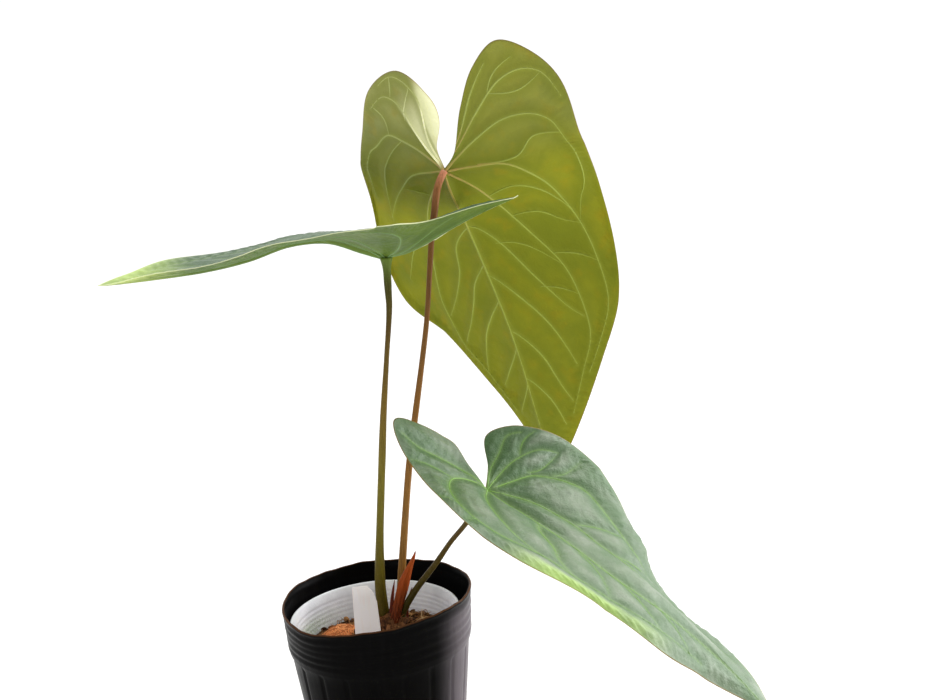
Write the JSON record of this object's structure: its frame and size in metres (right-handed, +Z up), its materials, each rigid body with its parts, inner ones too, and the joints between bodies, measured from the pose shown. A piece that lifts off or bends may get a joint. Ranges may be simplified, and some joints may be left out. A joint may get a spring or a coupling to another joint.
{
  "type": "potted anthurium hybrid",
  "caption": "Young potted anthurium hybrid with large quilted heart-shaped leaves on long stalks, in a clear liner nested in a thin black nursery pot.",
  "frame": {"origin": "centre of the flat foot of the outer pot, on the floor", "axes": "+Z up along the pot's axis; -Y towards the front, where the label and the lowest leaf are seen; +X to the right"},
  "size_m": [0.3542, 0.2724, 0.4345],
  "materials": {
    "black_film": "thin glossy black film with a greyish sheen",
    "clear_film": "milky translucent film",
    "coir_mix": "coarse coir and bark",
    "coir_fibre": "loose coir fibre",
    "tag_plastic": "plain white tag",
    "crown_bark": "rough brown stem",
    "dry_sheath": "dry papery orange-brown sheath",
    "red_sheath": "dark red sheath",
    "stalk_brown": "satin brown stalk with a pink knee",
    "stalk_olive": "satin olive stalk",
    "stalk_dark": "satin dark olive stalk",
    "leaf_under": "matt olive underside with raised pale veins",
    "leaf_level": "blue-green leaf with a pale edge",
    "leaf_upper": "glossy quilted leaf with sunken pale veins"
  },
  "bodies": {
    "root": {"outer_pot": "black_film", "inner_pot": "clear_film", "growing_medium": "coir_mix", "coir_tuft_left": "coir_fibre", "coir_tuft_right": "coir_fibre", "plant_label": "tag_plastic", "crown": "crown_bark", "cataphyll_tall": "dry_sheath", "cataphyll_left": "red_sheath", "cataphyll_right": "red_sheath", "petiole_upright": "stalk_brown", "petiole_level": "stalk_olive", "petiole_low": "stalk_dark", "blade_upright": "leaf_under", "blade_level": "leaf_level", "blade_low": "leaf_upper"}
  },
  "joints": []
}
